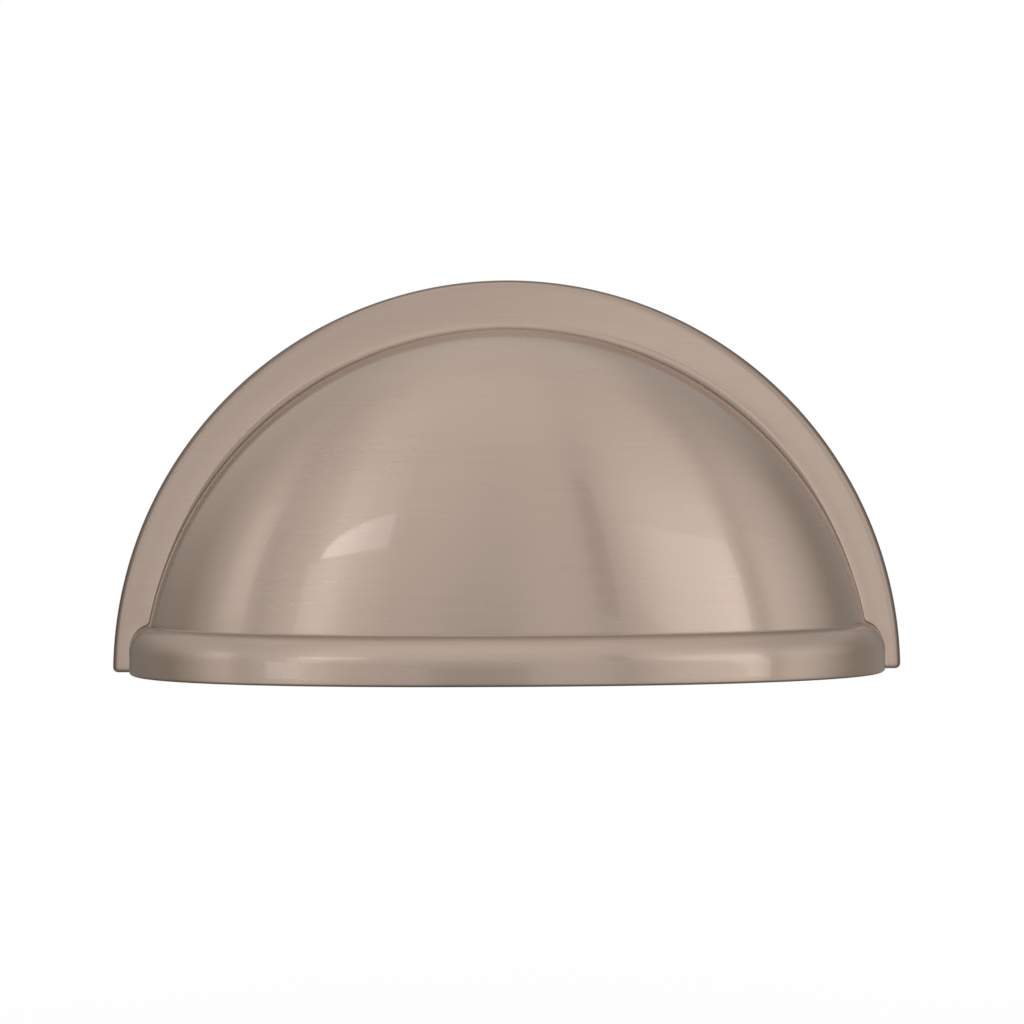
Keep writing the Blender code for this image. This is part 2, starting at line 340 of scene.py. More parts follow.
def flange(wall_foot, fillets):
    """The flange from the foot fillet out over its front, edge and side to its back."""
    outline = wall_foot[:, [0, 2]]
    normal = outline_normals(outline)
    fillets = np.array(fillets)[:, None]
    ring = outline + normal * fillets
    angle = np.arctan2(ring[:, 1] - FLANGE_CENTRE_Z, ring[:, 0])
    out = np.stack([np.cos(angle), np.sin(angle)], axis=1)
    out[-1] = (0.0, 1.0)
    edge = out * FLANGE_RADIUS + np.array([0.0, FLANGE_CENTRE_Z])
    columns, leans = [], []

    def column(place, depth, lean):
        depths = np.broadcast_to(depth, len(place))
        columns.append(np.stack([place[:, 0], depths, place[:, 1]], axis=1))
        leans.append(lean)

    for i in range(FILLET_STEPS + 1):
        a = math.pi / 2 * i / FILLET_STEPS
        place = outline + (ring - outline) * (1 - math.cos(a))
        depth = FLANGE_THICKNESS + fillets[:, 0] * (1 - math.sin(a))
        column(place, depth, (math.cos(a), math.sin(a)))
    inner = edge - out * FLANGE_EDGE
    for share in FLAT_SHARES:
        column(ring + (inner - ring) * share, FLANGE_THICKNESS, (0.0, 1.0))
    for i in range(1, EDGE_STEPS + 1):
        a = math.pi / 2 * i / EDGE_STEPS
        place = edge - out * FLANGE_EDGE * (1 - math.sin(a))
        depth = FLANGE_THICKNESS - FLANGE_EDGE * (1 - math.cos(a))
        column(place, depth, (math.sin(a), math.cos(a)))
    for i in range(1, SIDE_STEPS + 1):
        side = FLANGE_THICKNESS - FLANGE_EDGE - FLANGE_BACK_EDGE
        column(edge, FLANGE_BACK_EDGE + side * (1 - i / SIDE_STEPS), (1.0, 0.0))
    for i in range(1, BACK_STEPS + 1):
        a = math.pi / 2 * i / BACK_STEPS
        place = edge - out * FLANGE_BACK_EDGE * (1 - math.cos(a))
        column(place, FLANGE_BACK_EDGE * (1 - math.sin(a)), (1.0, 0.0))
    grid = np.array(columns)
    grid[:, -1, 0] = 0.0
    return grid, leans


BAND_STEPS = 6


def foot_band(flange_grid, leans, strip):
    """The rounded edge down to the mouth's plane, along the flange's foot and the lip."""
    top = np.concatenate([flange_grid[::-1, 0], strip[0, 1:]])
    lean = np.concatenate([np.array(leans)[::-1], np.zeros((STATIONS, 2))])
    _, _, side, front = mouth_line(turns)
    lean[-STATIONS:] = np.stack([side, front], axis=1)[1:]
    edge = np.full(len(top), LIP_EDGE)
    flat = len(leans) - 1 - FILLET_STEPS
    edge[:flat] = FLANGE_FOOT_EDGE
    fade = smooth_step(np.linspace(0, 1, FILLET_STEPS + 1))
    edge[flat : len(leans)] = FLANGE_FOOT_EDGE + (LIP_EDGE - FLANGE_FOOT_EDGE) * fade
    rows = [top]
    for i in range(BAND_STEPS + 1):
        a = math.pi / 2 * i / BAND_STEPS
        row = top.copy()
        row[:, :2] -= lean * (edge * (1 - math.cos(a)))[:, None]
        row[:, 2] = edge * (1 - math.sin(a))
        rows.append(row)
    rows = np.array(rows)
    rows[:, -1, 0] = 0.0
    return rows


# The hollow: the outer form set in by the wall, straight where it passes through the flange
profile_turn = np.linspace(0.0, math.pi / 2, 6001)
profile_sin, profile_cos = np.sin(profile_turn), np.maximum(np.cos(profile_turn), 0.0)
lean_side = profile_sin ** (2 - ROUNDNESS) / CUP_RADIUS
lean_front = profile_cos ** (2 - ROUNDNESS) / CUP_STANDS
lean_size = np.hypot(lean_side, lean_front)
hollow_radius = np.maximum(
    CUP_RADIUS * profile_sin**ROUNDNESS - WALL * lean_side / lean_size, 0.0
)
hollow_depth = (
    FLANGE_THICKNESS + CUP_STANDS * profile_cos**ROUNDNESS - WALL * lean_front / lean_size
)
COLLAR_RADIUS = CUP_RADIUS - WALL


def hollow_slice(z):
    """The hollow's wall at a height: straight leg from the drawer, then round to the middle."""
    reach = math.sqrt(COLLAR_RADIUS**2 - (z - CUP_AXIS_Z) ** 2)
    spread = (turns - turns[0]) / (turns[-1] - turns[0]) * math.pi / 2
    x = reach * np.maximum(np.cos(spread), 0.0) ** ROUNDNESS
    x[-1] = 0.0
    radius = np.hypot(x, z - CUP_AXIS_Z)
    depth = np.interp(radius, hollow_radius, hollow_depth)
    leg = np.linspace(0.0, depth[0], LEG_STEPS + 1)[:-1]
    x = np.concatenate([np.full(LEG_STEPS, reach), x])
    depth = np.concatenate([leg, depth])
    return np.stack([x, depth, np.full_like(x, z)], axis=1)


def hollow_strip():
    """The mouth's rounded inner edge and the hollow's wall up to the slice."""
    count = len(strip_rows)
    heights = MOUTH_EDGE + (CUP_SLICE - MOUTH_EDGE) * np.linspace(0, 1, count)
    rows = [hollow_slice(z) for z in heights]
    first = rows[0]
    step = np.gradient(first[:, :2], axis=0)
    lean = np.stack([step[:, 1], -step[:, 0]], axis=1)
    lean /= np.linalg.norm(lean, axis=1)[:, None]
    lean[:LEG_STEPS] = (1.0, 0.0)
    lean[-1] = (0.0, 1.0)
    edge = []
    for i in range(BAND_STEPS + 1, 0, -1):
        a = math.pi / 2 * i / (BAND_STEPS + 1)
        row = first.copy()
        row[:, :2] += lean * MOUTH_EDGE * (1 - math.cos(a))
        row[:, 2] = MOUTH_EDGE * (1 - math.sin(a))
        edge.append(row)
    grid = np.array(edge + rows)
    grid[:, -1, 0] = 0.0
    return grid


def hollow_cup(slice_top, steps):
    """The hollow above the slice, and its straight collar through the flange."""
    ribs = slice_top[LEG_STEPS:]
    fan = np.arctan2(ribs[:, 2] - CUP_AXIS_Z, ribs[:, 0])
    radius = np.hypot(ribs[:, 0], ribs[:, 2] - CUP_AXIS_Z)
    start = np.interp(radius, hollow_radius, profile_turn)
    rows = []
    for i in range(steps + 1):
        turn = start + (math.pi / 2 - start) * i / steps
        r = np.interp(turn, profile_turn, hollow_radius)
        depth = np.interp(turn, profile_turn, hollow_depth)
        rows.append(np.stack([r * np.cos(fan), depth, CUP_AXIS_Z + r * np.sin(fan)], 1))
    rows[0] = ribs.copy()
    cup = np.array(rows)
    cup[:, 0] = ribs[0]
    cup[:, -1, 0] = 0.0
    collar = []
    for leg in slice_top[LEG_STEPS::-1]:
        row = cup[-1].copy()
        row[:, 1] = leg[1]
        row[0] = leg
        collar.append(row)
    return cup, np.array(collar)


strip, fillet_radii = lip_strip()
cup_front = turned_cup(strip[-1], CUP_STEPS)
wall_foot = np.concatenate([strip[:, 0], cup_front[-1, 1:]])
cup_fan = np.arctan2(strip[-1, 1:, 2] - CUP_AXIS_Z, strip[-1, 1:, 0])
fillet_radii += list(cup_fillet(cup_fan))
flange_front, flange_leans = flange(wall_foot, fillet_radii)
band = foot_band(flange_front, flange_leans, strip)
inside = hollow_strip()
inside_cup, collar = hollow_cup(inside[-1], HOLLOW_STEPS)

outer_rim = band[-1]
inner_rim = inside[0]
back_outer = np.concatenate([band[::-1, 0], flange_front[-1, 1:]])
back_inner = np.concatenate([inside[:, 0], collar[-1, 1:]])

bm = bmesh.new()


def add_grid(grid):
    """Skins a grid of places with quads, on the right half and mirrored on the left."""
    rows, columns = grid.shape[:2]
    for hand in (1, -1):
        made = [
            [bm.verts.new((hand * p[0], DRAWER_Y - p[1], p[2])) for p in row] for row in grid
        ]
        for i in range(rows - 1):
            for j in range(columns - 1):
                corners = (made[i][j], made[i][j + 1], made[i + 1][j + 1], made[i + 1][j])
                bm.faces.new(corners if hand == 1 else corners[::-1])


def add_rim(first, second):
    """A flat strip between two lines that may have different numbers of places."""
    for hand in (1, -1):
        line_a = [bm.verts.new((hand * p[0], DRAWER_Y - p[1], p[2])) for p in first]
        line_b = [bm.verts.new((hand * p[0], DRAWER_Y - p[1], p[2])) for p in second]
        i = j = 0
        while i < len(line_a) - 1 or j < len(line_b) - 1:
            if j == len(line_b) - 1 or (
                i < len(line_a) - 1 and i / len(line_a) <= j / len(line_b)
            ):
                face = (line_a[i], line_a[i + 1], line_b[j])
                i += 1
            else:
                face = (line_a[i], line_b[j + 1], line_b[j])
                j += 1
            bm.faces.new(face if hand == 1 else face[::-1])


for grid in (strip, cup_front, flange_front, band, inside, inside_cup, collar):
    add_grid(grid)
add_rim(outer_rim, inner_rim)
add_rim(back_outer, back_inner)
WELD = 2e-7
NEEDLE = 1e-8  # an edge shorter than this is taken out
bmesh.ops.remove_doubles(bm, verts=bm.verts, dist=WELD)
bmesh.ops.dissolve_degenerate(bm, dist=NEEDLE, edges=bm.edges)
bmesh.ops.recalc_face_normals(bm, faces=bm.faces)
casting_mesh = bpy.data.meshes.new("casting")
bm.to_mesh(casting_mesh)
bm.free()
casting = bpy.data.objects.new("casting", casting_mesh)
bpy.context.scene.collection.objects.link(casting)

# The bosses stand in the hollow and take the screws from behind. Each is a drafted peg that
# runs into the cup's wall, drilled blind, tapped, and countersunk at its mouth.
SCREW_SPACING = 0.0762
BOSS_HEIGHT = 0.0110
BOSS_RADIUS = 0.0040
BOSS_DRAFT = math.radians(2.0)
BOSS_RECESS = 0.0003
BOSS_RIM = 0.0003
BOSS_RIM_STEPS = 4
BOSS_TURNS = 64
TAP_DRILL_RADIUS = 0.00173
THREAD_RADIUS = 0.00206
THREAD_PITCH = 0.00079375
THREAD_STEPS = 8  # places round one thread's vee
THREAD_TURNS = 40
THREAD_SLOPE, THREAD_FLAT = 1.3, 0.15  # how steep the vee is, and how blunt
THREAD_RUN_OUT = 0.0006  # plain hole left past the last thread
COUNTERSINK = 0.00025  # how much wider than the thread the hole's mouth is
COUNTERSINK_DEPTH = 0.0006
COUNTERSINK_TAPER = 0.9
HOLE_DEPTH = 0.0076
DRILL_POINT = math.radians(59.0)


def closed_solid(name, places, faces):
    """A solid from its places and faces, with every face turned outward."""
    mesh = bpy.data.meshes.new(name)
    mesh.from_pydata(places, [], faces)
    work = bmesh.new()
    work.from_mesh(mesh)
    bmesh.ops.recalc_face_normals(work, faces=work.faces)
    work.to_mesh(mesh)
    work.free()
    made = bpy.data.objects.new(name, mesh)
    bpy.context.scene.collection.objects.link(made)
    return made


def turning(name, profile, count, x, z):
    """A solid turned from (radius, depth) about an axis square to the drawer."""
    places, faces = [], []
    for radius, depth in profile:
        for k in range(count):
            a = math.tau * k / count
            places.append(
                (x + radius * math.cos(a), DRAWER_Y - depth, z + radius * math.sin(a))
            )
    for i in range(len(profile) - 1):
        for k in range(count):
            n = (k + 1) % count
            faces.append((i * count + k, i * count + n, (i + 1) * count + n, (i + 1) * count + k))
    faces.append(tuple(range(count)))
    faces.append(tuple(reversed(range(len(places) - count, len(places)))))
    return closed_solid(name, places, faces)


def boss_profile(end):
    """Down the peg from inside the wall to its face, with the face's edge rounded."""
    rows = [(BOSS_RADIUS + (end - BOSS_RECESS) * math.tan(BOSS_DRAFT), end)]
    for i in range(BOSS_RIM_STEPS + 1):
        a = math.pi / 2 * i / BOSS_RIM_STEPS
        rows.append(
            (
                BOSS_RADIUS - BOSS_RIM * (1 - math.cos(a)),
                BOSS_RECESS + BOSS_RIM * (1 - math.sin(a)),
            )
        )
    return rows


def tapped_hole(name, x, z):
    """The space of one tapped hole: its thread, its countersunk mouth and the drill's point."""
    places, faces = [], []
    rows = int(HOLE_DEPTH / THREAD_PITCH * THREAD_STEPS)
    for i in range(rows + 1):
        depth = HOLE_DEPTH * i / rows
        for k in range(THREAD_TURNS):
            a = math.tau * k / THREAD_TURNS
            phase = (depth / THREAD_PITCH + k / THREAD_TURNS) % 1.0
            vee = 1 - abs(2 * phase - 1)
            cut = max(0.0, min(1.0, THREAD_SLOPE * vee - THREAD_FLAT))
            left = (HOLE_DEPTH - THREAD_RUN_OUT - depth) / THREAD_PITCH
            fade = min(1.0, max(0.0, left))
            radius = TAP_DRILL_RADIUS + (THREAD_RADIUS - TAP_DRILL_RADIUS) * cut * fade
            if depth < BOSS_RECESS + COUNTERSINK_DEPTH:
                mouth = THREAD_RADIUS + COUNTERSINK - (depth - BOSS_RECESS) * COUNTERSINK_TAPER
                radius = max(radius, mouth)
            places.append((x + radius * math.cos(a), DRAWER_Y - depth, z + radius * math.sin(a)))
    for i in range(rows):
        for k in range(THREAD_TURNS):
            n = (k + 1) % THREAD_TURNS
            faces.append(
                (
                    i * THREAD_TURNS + k,
                    i * THREAD_TURNS + n,
                    (i + 1) * THREAD_TURNS + n,
                    (i + 1) * THREAD_TURNS + k,
                )
            )
    tip = len(places)
    places.append((x, DRAWER_Y - HOLE_DEPTH - TAP_DRILL_RADIUS / math.tan(DRILL_POINT), z))
    for k in range(THREAD_TURNS):
        faces.append((tip, rows * THREAD_TURNS + k, rows * THREAD_TURNS + (k + 1) % THREAD_TURNS))
    faces.append(tuple(range(THREAD_TURNS)))
    return closed_solid(name, places, faces)


def cut_or_join(target, other, operation):
    """Joins or cuts one solid with another, and keeps the result as the target's own mesh."""
    step = target.modifiers.new(other.name, "BOOLEAN")
    step.operation = operation
    step.solver = "EXACT"
    step.object = other
    bpy.context.view_layer.update()
    graph = bpy.context.evaluated_depsgraph_get()
    mesh = bpy.data.meshes.new_from_object(target.evaluated_get(graph))
    target.modifiers.remove(step)
    old, target.data = target.data, mesh
    bpy.data.meshes.remove(old)
    bpy.data.objects.remove(other)


# The core ends in the middle of the wall, and trims each boss so that it ends there too
core_radius = (CUP_RADIUS * profile_sin**ROUNDNESS + hollow_radius) / 2
core_depth = (FLANGE_THICKNESS + CUP_STANDS * profile_cos**ROUNDNESS + hollow_depth) / 2
CORE_STRIDE = 60  # takes every sixtieth place of the hollow's fine profile
CORE_TURNS = 180
CORE_OVERRUN = 0.001  # how far it reaches behind the drawer's face
core_rows = list(zip(core_radius[CORE_STRIDE::CORE_STRIDE], core_depth[CORE_STRIDE::CORE_STRIDE]))
core_rows.append((core_radius[-1], -CORE_OVERRUN))
for label, side in (("left", -1), ("right", 1)):
    x = side * SCREW_SPACING / 2
    boss = turning("boss_" + label, boss_profile(CROWN), BOSS_TURNS, x, BOSS_HEIGHT)
    core = turning("core_" + label, core_rows, CORE_TURNS, 0.0, CUP_AXIS_Z)
    cut_or_join(boss, core, "INTERSECT")
    cut_or_join(casting, boss, "UNION")
    cut_or_join(casting, tapped_hole("hole_" + label, x, BOSS_HEIGHT), "DIFFERENCE")
casting_mesh = casting.data
casting_mesh.shade_smooth()
SHARP = math.radians(40.0)  # edges that turn more than this are drawn sharp
casting_mesh.set_sharp_from_angle(angle=SHARP)

# The finish: nickel plate brushed level from side to side, and clear lacquer over it. The metal is
# rougher at the edges, in the corners and inside the cup, and the lacquer's shine is lost in the
# corners.
# The colour also carries painted shade along the flange's edge, in the corners, along the crease
# and at the rim.
places = np.empty(len(casting_mesh.vertices) * 3, dtype=np.float32)
casting_mesh.vertices.foreach_get("co", places)
places = places.reshape(-1, 3).astype(float)
x, depth, z = np.abs(places[:, 0]), DRAWER_Y - places[:, 1], places[:, 2]

# Where each dull, painted-shade place starts and stops, in metres, or in radians round the cup
# from its side, and how strong it is, from 0 in the open to 1
FLAT_WITHIN = 0.00001  # a place this near the flange's front or behind it is on the flange
OUTER_SKIN, WALL_SKIN = -0.006, -0.03  # least cup_excess on the outer face, and in the wall
EDGE_DULL_SHADE, EDGE_BAND = 0.7, (0.0002, 0.00035)  # in from the flange's edge
SIDE_EDGE_DULL_SHADE, SIDE_EDGE_BAND = 0.6, (0.00045, 0.00085)  # a wider band at its two sides
SIDE_EDGE_LOSS, SIDE_EDGE_TURN = 0.8, (0.9, 1.4)  # which is mostly lost round the top
FACE_BAND = (0.0005, 0.0010)  # in from the edge to the flange's open face
FACE_LIGHT_LEAN = 0.75  # how much more painted light the face gets to the right than in the middle
LEAN_REACH = 0.045
LIP_FADE = 0.0006
FILLET_DULL_SHADE, FILLET_STANDS = 0.5, (0.0, 0.00002, 0.0001, 0.0003)  # above the flange's face
FILLET_TURN = (0.3, 1.4)
FOOT_DULL_SHADE, FOOT_STANDS, FOOT_TURN = 0.7, (0.0, 0.0003, 0.0014, 0.0030), (0.15, 0.55)
# painted shade round the cup's foot, heavier to the right
CUP_DULL_SHADE, CUP_SHADE_LEAN = 0.72, 0.18
CUP_DULL_STANDS, CUP_DULL_TURN = (0.0008, 0.0022, 0.0036, 0.0052), (0.1, 1.5)
LIP_END_DULL_SHADE, LIP_END_STANDS = 0.8, (0.0035, 0.0080)
# painted shade on the lip's top near its ends, heavier to the left
LIP_TOP_DULL_SHADE, LIP_TOP_HEIGHTS = 0.22, (0.0028, 0.0042, 0.0059, 0.0066)
LIP_TOP_STANDS = (0.005, 0.013)
CREASE_DULL_SHADE, CREASE_ACROSS = 0.2, (0.0400, 0.0435)
CREASE_HEIGHTS = (-0.0004, -0.0001, 0.0, 0.0002)  # from the top of the lip
RIM_DULL_SHADE, RIM_HEIGHTS = 0.7, (0.0001, 0.00035)
FRONT_WALL = 0.0005  # the front of the cup counts as inside only behind this


def ramp(value, start, end):
    """Rises from 0 to 1 between two values."""
    return smooth_step((value - start) / (end - start))


def hump(value, start, full, end_full, end):
    """Rises from 0 to 1 between the first two values and falls again between the last two."""
    return ramp(value, start, full) * (1 - ramp(value, end_full, end))


from_edge = FLANGE_RADIUS - np.hypot(x, z - FLANGE_CENTRE_Z)
above_flange = depth - FLANGE_THICKNESS
around = np.arctan2(z - CUP_AXIS_Z, x)
to_the_right = np.clip(places[:, 0] / LEAN_REACH, -1, 1)
on_flange = above_flange < FLAT_WITHIN
outside = cup_excess(x, depth, z) > OUTER_SKIN
in_the_wall = cup_excess(x, depth, z) > WALL_SKIN
on_lip = (above_flange > 0.0) * (1 - ramp(z, LIP_HEIGHT, LIP_HEIGHT + LIP_FADE))

# Painted shade: a dark line along the flange's outer edge, in a wider band at its two sides
at_the_side = 1 - SIDE_EDGE_LOSS * ramp(around, *SIDE_EDGE_TURN)
edge_dull_shade = on_flange * np.maximum(
    EDGE_DULL_SHADE * (1 - ramp(from_edge, *EDGE_BAND)),
    SIDE_EDGE_DULL_SHADE * at_the_side * (1 - ramp(from_edge, *SIDE_EDGE_BAND)),
)
# Painted shade in the corners round the foot of the cup and the lip, and on the lip's top near its
# ends
fillet_dull_shade = FILLET_DULL_SHADE * hump(above_flange, *FILLET_STANDS) * (1 - ramp(around, *FILLET_TURN))
foot_dull_shade = FOOT_DULL_SHADE * hump(above_flange, *FOOT_STANDS) * (1 - ramp(around, *FOOT_TURN))
cup_dull_shade = (CUP_DULL_SHADE + CUP_SHADE_LEAN * to_the_right) * hump(above_flange, *CUP_DULL_STANDS)
cup_dull_shade = cup_dull_shade * (1 - ramp(around, *CUP_DULL_TURN))
lip_end_dull_shade = LIP_END_DULL_SHADE * on_lip * (1 - ramp(above_flange, *LIP_END_STANDS))
lip_top_dull_shade = LIP_TOP_DULL_SHADE * (1 - to_the_right) * on_lip * hump(z, *LIP_TOP_HEIGHTS)
lip_top_dull_shade = lip_top_dull_shade * (1 - ramp(above_flange, *LIP_TOP_STANDS))
corner_dull_shade = in_the_wall * np.maximum.reduce(
    [fillet_dull_shade, foot_dull_shade, cup_dull_shade, lip_end_dull_shade, lip_top_dull_shade]
)
# Painted shade along the crease between lip and cup
crease_dull_shade = CREASE_DULL_SHADE * hump(z - LIP_HEIGHT, *CREASE_HEIGHTS) * (1 - ramp(x, *CREASE_ACROSS))
crease_dull_shade = crease_dull_shade * outside * (above_flange > 0.0)
# Painted shade along the mouth's outer bottom edge
rim_dull_shade = RIM_DULL_SHADE * outside * (1 - ramp(z, *RIM_HEIGHTS))
dull_and_painted_shade = np.clip(np.maximum.reduce([edge_dull_shade, corner_dull_shade, crease_dull_shade, rim_dull_shade]), 0, 1)
inside_cup_wall = (cup_excess(x, depth, z) < WALL_SKIN) * (depth < CROWN - FRONT_WALL)
# Painted light: the flange's open face is lighter, more so to the right
painted_flange_light = on_flange * ramp(from_edge, *FACE_BAND) * (1 + FACE_LIGHT_LEAN * to_the_right)
surface_layers = {"dull_and_painted_shade": dull_and_painted_shade, "inside": inside_cup_wall, "painted flange light": painted_flange_light}
for label, values in surface_layers.items():
    layer = casting_mesh.attributes.new(label, "FLOAT", "POINT")
    layer.data.foreach_set("value", values.astype(np.float32))

metal = bpy.data.materials.new("satin nickel under lacquer")
metal.use_nodes = True
tree = metal.node_tree
nodes, links = tree.nodes, tree.links
shader = nodes["Principled BSDF"]
shader.inputs["Metallic"].default_value = 1.0
shader.inputs["Anisotropic"].default_value = 0.98
shader.inputs["Coat Weight"].default_value = 1.0
shader.inputs["Coat Roughness"].default_value = 0.04
NICKEL = (0.419, 0.321, 0.257)
NICKEL_ROUGHNESS = 0.28
PAINTED_SHADE_DARKER = 0.7  # painted shade: 0.3 of the colour is left where the mask is strongest
DULL_LACQUER_LOSS = 1.25
DULL_ROUGHER = 0.12
FACE_PAINTED_LIGHTER = 0.12  # painted light: the flange's face is drawn a little lighter
SCRATCH_DEPTH = 0.0000013
casting_place = nodes.new("ShaderNodeTexCoord").outputs["Object"]

brush_way = nodes.new("ShaderNodeCombineXYZ")  # the brush smears reflections up and down
brush_way.inputs["Y"].default_value = 0.05
brush_way.inputs["Z"].default_value = 1.0
links.new(brush_way.outputs["Vector"], shader.inputs["Tangent"])


def brushed_noise(per_metre, detail, offset):
    """Noise drawn out along the brush strokes, level from side to side."""
    stretch = nodes.new("ShaderNodeMapping")
    stretch.inputs["Scale"].default_value = per_metre
    stretch.inputs["Location"].default_value = (offset, offset / 2, offset / 3)
    links.new(casting_place, stretch.inputs["Vector"])
    noise = nodes.new("ShaderNodeTexNoise")
    noise.inputs["Scale"].default_value = 1.0
    noise.inputs["Detail"].default_value = detail
    noise.inputs["Roughness"].default_value = 0.6
    links.new(stretch.outputs["Vector"], noise.inputs["Vector"])
    return noise.outputs["Fac"]


def from_base(value, base, amount, clamp=False):
    """A base number plus an amount of a value."""
    scaled = nodes.new("ShaderNodeMath")
    scaled.operation = "MULTIPLY_ADD"
    scaled.use_clamp = clamp
    scaled.inputs[1].default_value = amount
    scaled.inputs[2].default_value = base
    links.new(value, scaled.inputs[0])
    return scaled.outputs[0]


def spread_about(noise, middle, amount):
    """Turns noise about a half into a value about its middle."""
    return from_base(noise, middle - amount / 2, amount)


def joined(first, second, how):
    """Two values joined by one sum, product or the like."""
    node = nodes.new("ShaderNodeMath")
    node.operation = how
    links.new(first, node.inputs[0])
    links.new(second, node.inputs[1])
    return node.outputs[0]


def surface_layer(label):
    """One of the layers laid on the casting's places above: dullness with painted shade, the cup's
    inside, and the flange's painted light.
    """
    reader = nodes.new("ShaderNodeAttribute")
    reader.attribute_name = label
    return reader.outputs["Fac"]


fine_strokes = brushed_noise((170, 60, 5200), 3.0, 0.0)
long_strokes = brushed_noise((45, 20, 1700), 2.0, 7.0)
cloudy = brushed_noise((60, 60, 130), 2.0, 3.0)

shade = joined(
    spread_about(fine_strokes, 1.0, 0.08), spread_about(long_strokes, 1.0, 0.09), "MULTIPLY"
)
for part in (
    spread_about(cloudy, 1.0, 0.05),
    # painted shade darkens the colour where the mask is strong
    from_base(surface_layer("dull_and_painted_shade"), 1.0, -PAINTED_SHADE_DARKER),
    # painted light lifts the flange's open face
    from_base(surface_layer("painted flange light"), 1.0, FACE_PAINTED_LIGHTER),
):
    shade = joined(shade, part, "MULTIPLY")
tint = nodes.new("ShaderNodeCombineColor")
for channel, amount in zip(("Red", "Green", "Blue"), NICKEL):
    scaled = nodes.new("ShaderNodeMath")
    scaled.operation = "MULTIPLY"
    scaled.inputs[1].default_value = amount
    links.new(shade, scaled.inputs[0])
    links.new(scaled.outputs[0], tint.inputs[channel])
links.new(tint.outputs["Color"], shader.inputs["Base Color"])

lacquer = from_base(surface_layer("dull_and_painted_shade"), 1.0, -DULL_LACQUER_LOSS, clamp=True)
links.new(lacquer, shader.inputs["Coat Weight"])

roughness = joined(
    spread_about(long_strokes, NICKEL_ROUGHNESS, 0.05), spread_about(cloudy, 0.0, 0.04), "ADD"
)
unbuffed = joined(surface_layer("dull_and_painted_shade"), surface_layer("inside"), "MAXIMUM")
rougher = joined(roughness, from_base(unbuffed, 0.0, DULL_ROUGHER), "ADD")
links.new(rougher, shader.inputs["Roughness"])

scratches = nodes.new("ShaderNodeBump")
scratches.inputs["Strength"].default_value = 1.0
scratches.inputs["Distance"].default_value = SCRATCH_DEPTH
links.new(joined(fine_strokes, long_strokes, "ADD"), scratches.inputs["Height"])
links.new(scratches.outputs["Normal"], shader.inputs["Normal"])
casting_mesh.materials.append(metal)

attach(casting, "root")
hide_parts("cup_pull")

# The floor and the backdrop
# A wide sheet of pale matt paper lies below the pull, and white light comes evenly from all round.
# The camera sees the paper as white, while the metal doesn't mirror it.
FLOOR_GREY = 0.9
FLOOR_DROP = 0.08  # how far below the mouth the paper lies
FLOOR_REACH = 3.0
floor_mesh = bpy.data.meshes.new("floor")
floor_corners = [(-1, -1), (1, -1), (1, 1), (-1, 1)]
floor_mesh.from_pydata(
    [(FLOOR_REACH * a, FLOOR_REACH * b, 0) for a, b in floor_corners], [], [(0, 1, 2, 3)]
)
floor = bpy.data.objects.new("floor", floor_mesh)
floor.location.z = -FLOOR_DROP
bpy.context.scene.collection.objects.link(floor)
floor.visible_glossy = False
paper = bpy.data.materials.new("floor paper")
paper.use_nodes = True
sheet = paper.node_tree.nodes["Principled BSDF"]
sheet.inputs["Base Color"].default_value = (FLOOR_GREY, FLOOR_GREY, FLOOR_GREY, 1.0)
sheet.inputs["Roughness"].default_value = 0.9
sheet.inputs["Specular IOR Level"].default_value = 0.0
sheet.inputs["Emission Color"].default_value = (1.0, 1.0, 1.0, 1.0)
seen = paper.node_tree.nodes.new("ShaderNodeLightPath")
lift = paper.node_tree.nodes.new("ShaderNodeMath")
lift.operation = "MULTIPLY"
lift.inputs[1].default_value = 1.0 - FLOOR_GREY
paper.node_tree.links.new(seen.outputs["Is Camera Ray"], lift.inputs[0])
paper.node_tree.links.new(lift.outputs[0], sheet.inputs["Emission Strength"])
floor_mesh.materials.append(paper)

world = bpy.data.worlds.new("studio")
bpy.context.scene.world = world
world.use_nodes = True
world.node_tree.nodes["Background"].inputs["Color"].default_value = (1, 1, 1, 1)
world.node_tree.nodes["Background"].inputs["Strength"].default_value = 1.0

# The studio's boards
# Lamps and dark cards stand round the pull. Each is a curved board, placed by its bearing from
# the pull in degrees: the first is to the right of straight ahead of it, the second is upward.


